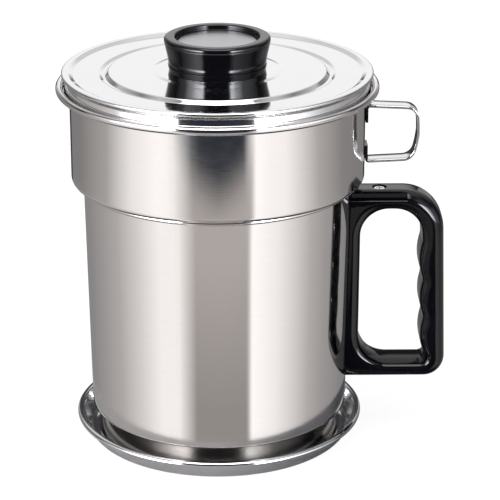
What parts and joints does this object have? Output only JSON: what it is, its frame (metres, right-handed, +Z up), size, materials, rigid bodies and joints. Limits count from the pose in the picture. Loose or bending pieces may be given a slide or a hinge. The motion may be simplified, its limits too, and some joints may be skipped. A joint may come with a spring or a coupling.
{
  "type": "bacon grease container",
  "caption": "Round steel grease pot with a moulded D handle, a drip tray, a lift-out strainer cup with a strap loop, and a knobbed lid.",
  "frame": {"origin": "centre of the drip tray's underside", "axes": "+Z up along the pot's axis, +X toward both handles"},
  "size_m": [0.1643, 0.134, 0.1742],
  "materials": {
    "tray_steel": "polished",
    "pot_steel": "satin",
    "cup_steel": "satin",
    "lid_steel": "polished",
    "strap_steel": "polished",
    "strainer_steel": "satin",
    "bracket_steel": "plain",
    "handle_plastic": "gloss",
    "knob_plastic": "gloss",
    "disc_metal": "satin",
    "screw_steel": "bright",
    "insert_brass": "plain"
  },
  "bodies": {
    "tray": {"tray": "tray_steel", "tray_riser": "tray_steel"},
    "pot": {"pot_body": "pot_steel", "pot_handle": "handle_plastic", "handle_bracket": "bracket_steel", "handle_lug": "bracket_steel", "handle_screw": "screw_steel", "tongue_nut": "bracket_steel"},
    "strainer": {"strainer_cup": "cup_steel", "strainer_neck": "cup_steel", "strainer_plate": "strainer_steel", "strainer_mesh": "strainer_steel", "mesh_retainer": "strainer_steel", "loop_handle": "strap_steel"},
    "lid": {"lid_pan": "lid_steel", "knob_spacer": "knob_plastic", "lid_knob": "knob_plastic", "knob_disc": "disc_metal", "knob_insert": "insert_brass", "knob_washer": "screw_steel", "knob_screw": "screw_steel"}
  },
  "joints": [
    {"name": "pot_lift", "type": "slide", "parent": "tray", "child": "pot", "axis": [0, 0, 1], "range_m": [0, 0.06]},
    {"name": "strainer_lift", "type": "slide", "parent": "pot", "child": "strainer", "axis": [0, 0, 1], "range_m": [0, 0.07]},
    {"name": "lid_lift", "type": "slide", "parent": "strainer", "child": "lid", "axis": [0, 0, 1], "range_m": [0, 0.06]}
  ]
}
